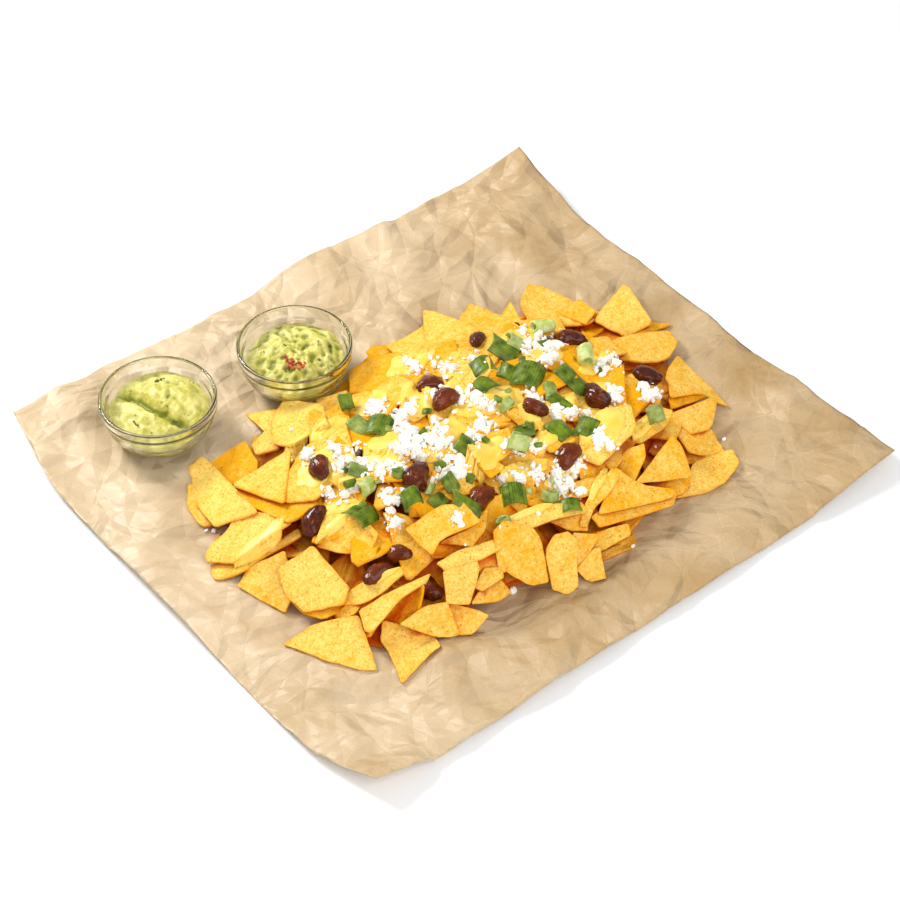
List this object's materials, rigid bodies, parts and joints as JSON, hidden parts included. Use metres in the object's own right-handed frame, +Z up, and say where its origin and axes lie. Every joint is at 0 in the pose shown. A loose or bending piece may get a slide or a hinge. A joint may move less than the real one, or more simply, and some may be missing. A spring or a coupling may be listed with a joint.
{
  "type": "loaded nachos with dips",
  "caption": "Heap of tortilla chips topped with kidney beans, spring onion, feta and melted cheese on crumpled baking paper, with small glass bowls of guacamole beside it.",
  "frame": {"origin": "under the middle of the paper sheet, on the surface that it lies on", "axes": "+Z up, +X along the sheet's long edge, +Y along its short edge towards the side where the bowls stand"},
  "size_m": [0.42, 0.38, 0.0613],
  "materials": {
    "baking_paper": "crumpled brown baking paper with a faint sheen",
    "tortilla_chip": "fried maize dough, golden and blistered, with melted cheese and crumbled feta",
    "kidney_bean": "smooth wet bean skin, dark red-brown",
    "spring_onion": "fresh cut leaf, green outside and pale inside",
    "bowl_glass": "clear smooth pressed glass",
    "guacamole": "coarse mashed avocado, wet and lumpy"
  },
  "bodies": {
    "root": {"paper_sheet": "baking_paper", "chip_heap": "tortilla_chip", "bean_01": "kidney_bean", "bean_02": "kidney_bean", "bean_03": "kidney_bean", "bean_04": "kidney_bean", "bean_05": "kidney_bean", "bean_06": "kidney_bean", "bean_07": "kidney_bean", "bean_08": "kidney_bean", "bean_09": "kidney_bean", "bean_10": "kidney_bean", "bean_11": "kidney_bean", "bean_12": "kidney_bean", "bean_13": "kidney_bean", "bean_14": "kidney_bean", "bean_15": "kidney_bean", "spring_onion_01": "spring_onion", "spring_onion_02": "spring_onion", "spring_onion_03": "spring_onion", "spring_onion_04": "spring_onion", "spring_onion_05": "spring_onion", "spring_onion_06": "spring_onion", "spring_onion_07": "spring_onion", "spring_onion_08": "spring_onion", "spring_onion_09": "spring_onion", "spring_onion_10": "spring_onion", "spring_onion_11": "spring_onion", "spring_onion_12": "spring_onion", "spring_onion_13": "spring_onion", "spring_onion_14": "spring_onion", "spring_onion_15": "spring_onion", "spring_onion_16": "spring_onion", "spring_onion_17": "spring_onion", "spring_onion_18": "spring_onion", "spring_onion_19": "spring_onion", "spring_onion_20": "spring_onion", "spring_onion_21": "spring_onion", "spring_onion_22": "spring_onion", "spring_onion_23": "spring_onion", "spring_onion_24": "spring_onion", "spring_onion_25": "spring_onion", "spring_onion_26": "spring_onion", "spring_onion_27": "spring_onion", "spring_onion_28": "spring_onion", "spring_onion_29": "spring_onion", "spring_onion_30": "spring_onion", "glass_bowl_left": "bowl_glass", "guacamole_left": "guacamole", "glass_bowl_right": "bowl_glass", "guacamole_right": "guacamole"}
  },
  "joints": []
}
